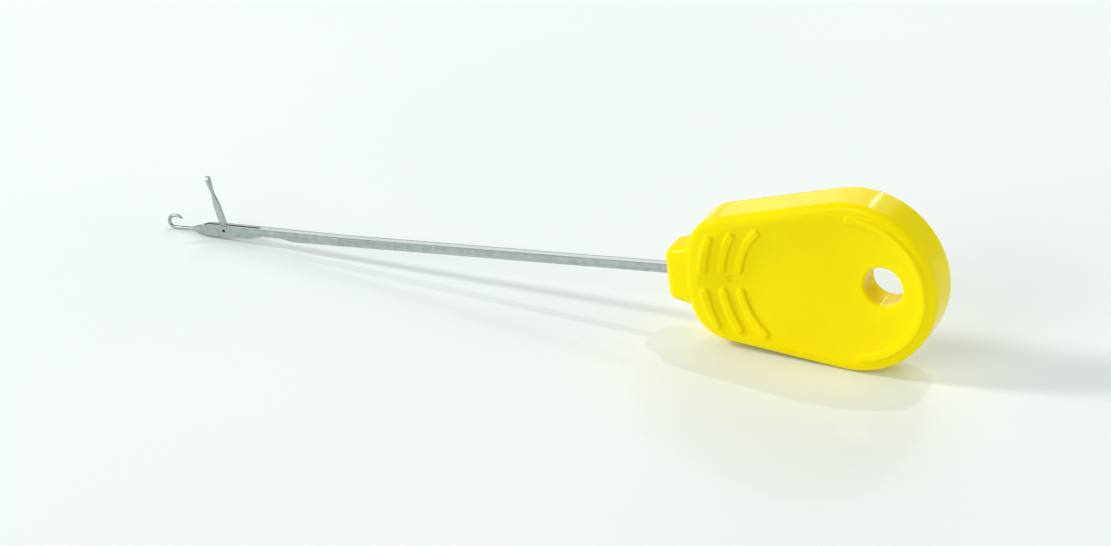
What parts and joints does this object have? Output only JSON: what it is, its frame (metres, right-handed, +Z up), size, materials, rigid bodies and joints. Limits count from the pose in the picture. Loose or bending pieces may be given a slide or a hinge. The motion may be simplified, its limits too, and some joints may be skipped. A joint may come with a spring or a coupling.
{
  "type": "latch-hook needle",
  "caption": "Flat steel latch-hook needle fixed in a short plastic thumb handle with a dished grip and a lanyard hole; the latch swings to close the hook.",
  "frame": {"origin": "bottom centre of the bounding box, on the table the tool stands on", "axes": "+X from the hook to the handle's rear, +Y away from the front face, through the handle's thickness, +Z up"},
  "size_m": [0.131, 0.0092, 0.0284],
  "materials": {
    "yellow_plastic": "glossy moulded yellow",
    "plated_steel": "nickel-plated, lightly brushed",
    "latch_steel": "nickel-plated, polished",
    "rivet_steel": "dark recessed pin end"
  },
  "bodies": {
    "handle_and_needle": {"handle": "yellow_plastic", "needle": "plated_steel", "latch_rivet": "rivet_steel"},
    "latch": {"latch": "latch_steel"}
  },
  "joints": [
    {"name": "latch_pivot", "type": "hinge", "parent": "handle_and_needle", "child": "latch", "pos_m": [-0.05546, 0, 0.00156], "axis": [0, 1, 0], "range_deg": [-61, 95]}
  ]
}
